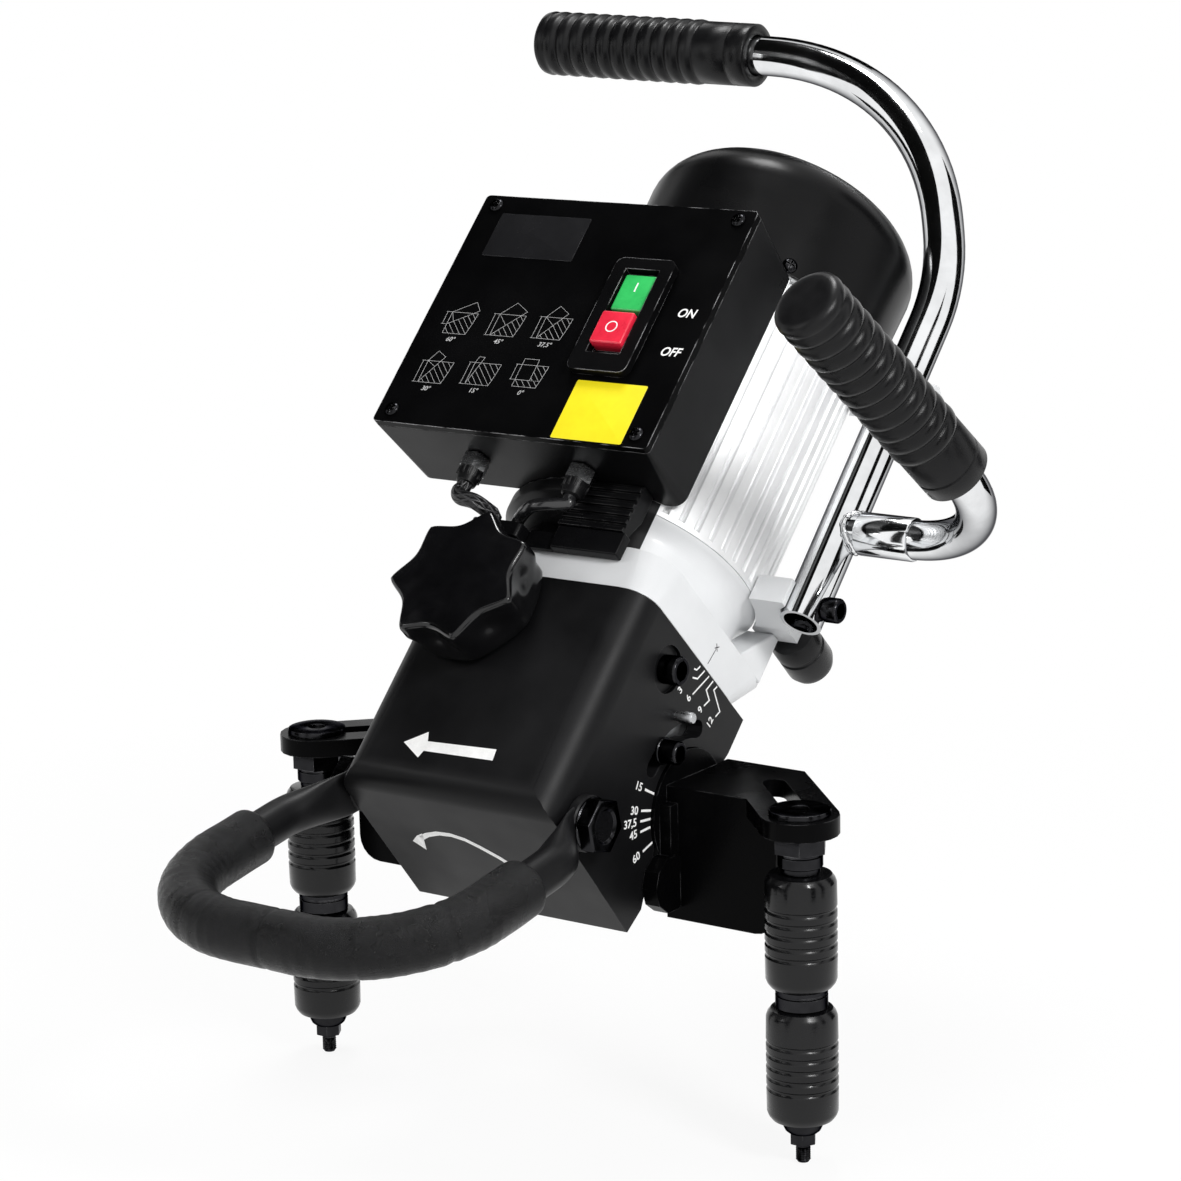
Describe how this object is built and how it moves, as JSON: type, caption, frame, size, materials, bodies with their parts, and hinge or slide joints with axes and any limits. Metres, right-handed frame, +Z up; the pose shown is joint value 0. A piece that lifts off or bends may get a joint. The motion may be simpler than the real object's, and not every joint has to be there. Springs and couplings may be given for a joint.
{
  "type": "beveling machine",
  "caption": "Hand-guided edge beveling machine: induction motor on a tilting angle head with depth knob, guide fence with edge rollers, loop and tube handles.",
  "frame": {"origin": "centre of the underside of the guide's tie bar, the face that rides on the plate", "axes": "+X along the guide and the feed, +Y away from the operator, +Z up; the head is set to a 45 degree bevel"},
  "size_m": [0.454, 0.6099, 0.5737],
  "materials": {
    "black_paint": "satin black paint on castings and tube",
    "bright_aluminium": "bare finned aluminium casting",
    "grey_casting": "pale grey painted aluminium casting",
    "chrome": "bright plated tube",
    "rubber": "matt black ribbed rubber",
    "foam": "soft black foam with fine creases",
    "steel": "turned or plated steel",
    "black_steel": "black oxide steel",
    "black_plastic": "moulded black plastic",
    "lid_metal": "smooth dark coated plate",
    "green_plastic": "green moulded button",
    "red_plastic": "red moulded button",
    "winding": "laminations with enamelled copper turns",
    "carbide": "coated cutting insert"
  },
  "bodies": {
    "guide": {"guide_casting": "black_paint", "clamp_plate_left": "steel", "clamp_plate_right": "steel", "angle_clamp_screw_left": "black_steel", "angle_clamp_screw_right": "black_steel", "roller_stud_left": "steel", "roller_stud_right": "steel", "roller_spacer_left": "black_steel", "roller_spacer_right": "black_steel", "roller_end_nut_left": "steel", "roller_end_nut_right": "steel"},
    "roller_left_upper_body": {"roller_left_upper": "black_plastic"},
    "roller_left_lower_body": {"roller_left_lower": "black_plastic"},
    "roller_right_upper_body": {"roller_right_upper": "black_plastic"},
    "roller_right_lower_body": {"roller_right_lower": "black_plastic"},
    "head": {"angle_housing": "black_paint", "slide_lock_screw_left": "black_steel", "slide_lock_screw_right": "black_steel", "handle_bolt_left": "black_steel", "handle_bolt_right": "black_steel"},
    "knob": {"star_knob": "black_plastic", "feed_screw": "steel"},
    "front_handle": {"front_handle_tube": "black_paint", "front_handle_grip": "foam"},
    "motor_unit": {"slide_housing": "grey_casting", "motor_frame": "bright_aluminium", "stator": "winding", "front_bearing": "steel", "rear_bearing": "steel", "rear_shield": "grey_casting", "fan_cowl": "black_plastic", "switch_box": "black_plastic", "box_lid": "lid_metal", "switch_body": "black_plastic", "run_capacitor": "bright_aluminium", "cable_gland_left": "black_plastic", "cable_gland_right": "black_plastic", "braided_lead": "black_plastic", "smooth_lead": "black_plastic", "lead_clamp": "black_plastic", "terminal_cover": "black_plastic", "main_handle_tube": "chrome", "top_grip": "rubber", "side_handle_tube": "chrome", "side_grip": "rubber", "lower_tube_bracket": "grey_casting", "upper_tube_bracket": "grey_casting", "tube_screw": "black_steel", "rest_buffer": "rubber"},
    "spindle": {"motor_shaft": "steel", "rotor": "steel", "cooling_fan": "black_plastic", "cutter_head": "steel", "cutter_insert_1": "carbide", "cutter_insert_2": "carbide", "cutter_insert_3": "carbide", "cutter_bolt": "black_steel"},
    "on_button_body": {"on_button": "green_plastic"},
    "off_button_body": {"off_button": "red_plastic"}
  },
  "joints": [
    {"name": "bevel_tilt", "type": "hinge", "parent": "guide", "child": "head", "pos_m": [0, -0.0265, -0.009], "axis": [1, 0, 0], "range_deg": [-15, 45]},
    {"name": "depth_slide", "type": "slide", "parent": "head", "child": "motor_unit", "axis": [0, 0.7071, -0.7071], "range_m": [-0.003, 0.009]},
    {"name": "knob_turn", "type": "hinge", "parent": "head", "child": "knob", "pos_m": [-0.026, 0.00426, 0.02176], "axis": [0, -0.7071, 0.7071], "range_deg": [-360, 1080]},
    {"name": "spindle_spin", "type": "hinge", "parent": "motor_unit", "child": "spindle", "pos_m": [0, -0.05832, 0.02282], "axis": [0, 0.7071, 0.7071], "continuous": true},
    {"name": "front_handle_swing", "type": "hinge", "parent": "head", "child": "front_handle", "pos_m": [0, -0.12479, 0.00868], "axis": [1, 0, 0], "range_deg": [-15, 15]},
    {"name": "on_button_press", "type": "slide", "parent": "motor_unit", "child": "on_button_body", "axis": [0, 0.7071, -0.7071], "range_m": [0, 0.003], "stiffness_N_per_m": 600},
    {"name": "off_button_press", "type": "slide", "parent": "motor_unit", "child": "off_button_body", "axis": [0, 0.7071, -0.7071], "range_m": [0, 0.003], "stiffness_N_per_m": 600},
    {"name": "roller_left_upper_spin", "type": "hinge", "parent": "guide", "child": "roller_left_upper_body", "pos_m": [-0.162, -0.0573, -0.023], "axis": [0, 0, 1], "continuous": true},
    {"name": "roller_left_lower_spin", "type": "hinge", "parent": "guide", "child": "roller_left_lower_body", "pos_m": [-0.162, -0.0573, -0.023], "axis": [0, 0, 1], "continuous": true},
    {"name": "roller_right_upper_spin", "type": "hinge", "parent": "guide", "child": "roller_right_upper_body", "pos_m": [0.162, -0.0573, -0.023], "axis": [0, 0, 1], "continuous": true},
    {"name": "roller_right_lower_spin", "type": "hinge", "parent": "guide", "child": "roller_right_lower_body", "pos_m": [0.162, -0.0573, -0.023], "axis": [0, 0, 1], "continuous": true}
  ],
  "couplings": [
    {"joint": "knob_turn", "follows": "depth_slide", "rad_per_m": 2094.4}
  ]
}
